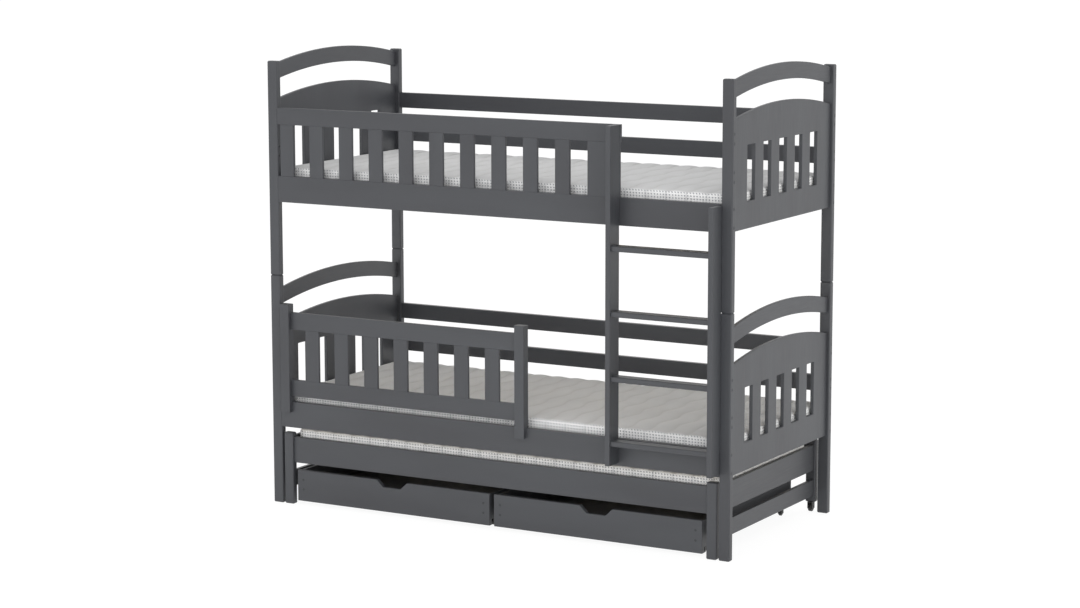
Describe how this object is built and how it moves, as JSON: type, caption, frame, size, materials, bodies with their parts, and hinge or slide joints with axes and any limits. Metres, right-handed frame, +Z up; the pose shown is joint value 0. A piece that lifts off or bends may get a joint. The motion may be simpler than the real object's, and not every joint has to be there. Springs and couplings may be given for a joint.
{
  "type": "bunk bed with trundle",
  "caption": "Bunk bed with guard rails, a front ladder, arched slotted end boards, mattresses and a roll-out trundle bed with pull-out storage drawers on casters.",
  "frame": {"origin": "on the floor, under the middle of the whole outline, ladder included", "axes": "+X along the bed towards the ladder's end, -Y out of the open front where the trundle rolls, +Z up"},
  "size_m": [1.96, 0.955, 1.7419],
  "materials": {
    "painted_wood": "satin",
    "bare_wood": "matte",
    "steel": "satin",
    "black_plastic": "matte",
    "grey_plastic": "matte",
    "mattress_cover": "matte"
  },
  "bodies": {
    "bed": {"post_lower_front_left": "painted_wood", "post_lower_front_right": "painted_wood", "side_rail_lower_front": "painted_wood", "post_lower_back_left": "painted_wood", "post_lower_back_right": "painted_wood", "side_rail_lower_back": "painted_wood", "end_panel_lower_left": "painted_wood", "arch_rail_lower_left": "painted_wood", "end_panel_lower_right": "painted_wood", "arch_rail_lower_right": "painted_wood", "back_rails_lower": "painted_wood", "bed_slats_lower": "bare_wood", "mattress_lower": "mattress_cover", "post_upper_front_left": "painted_wood", "post_upper_front_right": "painted_wood", "side_rail_upper_front": "painted_wood", "post_upper_back_left": "painted_wood", "post_upper_back_right": "painted_wood", "side_rail_upper_back": "painted_wood", "end_panel_upper_left": "painted_wood", "arch_rail_upper_left": "painted_wood", "end_panel_upper_right": "painted_wood", "arch_rail_upper_right": "painted_wood", "back_rails_upper": "painted_wood", "bed_slats_upper": "bare_wood", "mattress_upper": "mattress_cover", "guard_top_rail": "painted_wood", "guard_slats": "painted_wood", "lower_guard_posts": "painted_wood", "lower_guard_rails": "painted_wood", "lower_guard_slats": "painted_wood", "ladder_stile_left": "painted_wood", "ladder_stile_right": "painted_wood", "ladder_rungs": "painted_wood", "slat_ledgers": "bare_wood", "post_pins": "steel", "bed_bolts": "steel", "bolt_caps": "grey_plastic", "wood_dowels": "bare_wood", "ladder_and_guard_screws": "steel"},
    "trundle": {"trundle_posts_front": "painted_wood", "trundle_posts_back": "painted_wood", "trundle_side_rails": "painted_wood", "trundle_end_boards": "painted_wood", "trundle_ledgers": "bare_wood", "trundle_slats": "bare_wood", "trundle_caster_forks": "black_plastic", "mattress_trundle": "mattress_cover"},
    "trundle_wheel_left": {"trundle_wheel_left": "black_plastic"},
    "trundle_wheel_right": {"trundle_wheel_right": "black_plastic"},
    "drawer_left": {"drawer_left_front": "painted_wood", "drawer_left_box": "painted_wood", "drawer_left_caster_forks": "black_plastic"},
    "drawer_left_wheels_front": {"drawer_left_wheels_front": "black_plastic"},
    "drawer_left_wheels_back": {"drawer_left_wheels_back": "black_plastic"},
    "drawer_right": {"drawer_right_front": "painted_wood", "drawer_right_box": "painted_wood", "drawer_right_caster_forks": "black_plastic"},
    "drawer_right_wheels_front": {"drawer_right_wheels_front": "black_plastic"},
    "drawer_right_wheels_back": {"drawer_right_wheels_back": "black_plastic"}
  },
  "joints": [
    {"name": "trundle_slide", "type": "slide", "parent": "bed", "child": "trundle", "axis": [0, -1, 0], "range_m": [0, 0.8]},
    {"name": "trundle_wheel_left_turn", "type": "hinge", "parent": "trundle", "child": "trundle_wheel_left", "pos_m": [-0.908, 0.4605, 0.016], "axis": [1, 0, 0], "continuous": true},
    {"name": "trundle_wheel_right_turn", "type": "hinge", "parent": "trundle", "child": "trundle_wheel_right", "pos_m": [0.908, 0.4605, 0.016], "axis": [1, 0, 0], "continuous": true},
    {"name": "drawer_left_slide", "type": "slide", "parent": "trundle", "child": "drawer_left", "axis": [0, -1, 0], "range_m": [0, 0.6]},
    {"name": "drawer_left_wheels_front_turn", "type": "hinge", "parent": "drawer_left", "child": "drawer_left_wheels_front", "pos_m": [-0.44, -0.3215, 0.012], "axis": [1, 0, 0], "continuous": true},
    {"name": "drawer_left_wheels_back_turn", "type": "hinge", "parent": "drawer_left", "child": "drawer_left_wheels_back", "pos_m": [-0.44, 0.3365, 0.012], "axis": [1, 0, 0], "continuous": true},
    {"name": "drawer_right_slide", "type": "slide", "parent": "trundle", "child": "drawer_right", "axis": [0, -1, 0], "range_m": [0, 0.6]},
    {"name": "drawer_right_wheels_front_turn", "type": "hinge", "parent": "drawer_right", "child": "drawer_right_wheels_front", "pos_m": [0.44, -0.3215, 0.012], "axis": [1, 0, 0], "continuous": true},
    {"name": "drawer_right_wheels_back_turn", "type": "hinge", "parent": "drawer_right", "child": "drawer_right_wheels_back", "pos_m": [0.44, 0.3365, 0.012], "axis": [1, 0, 0], "continuous": true}
  ]
}
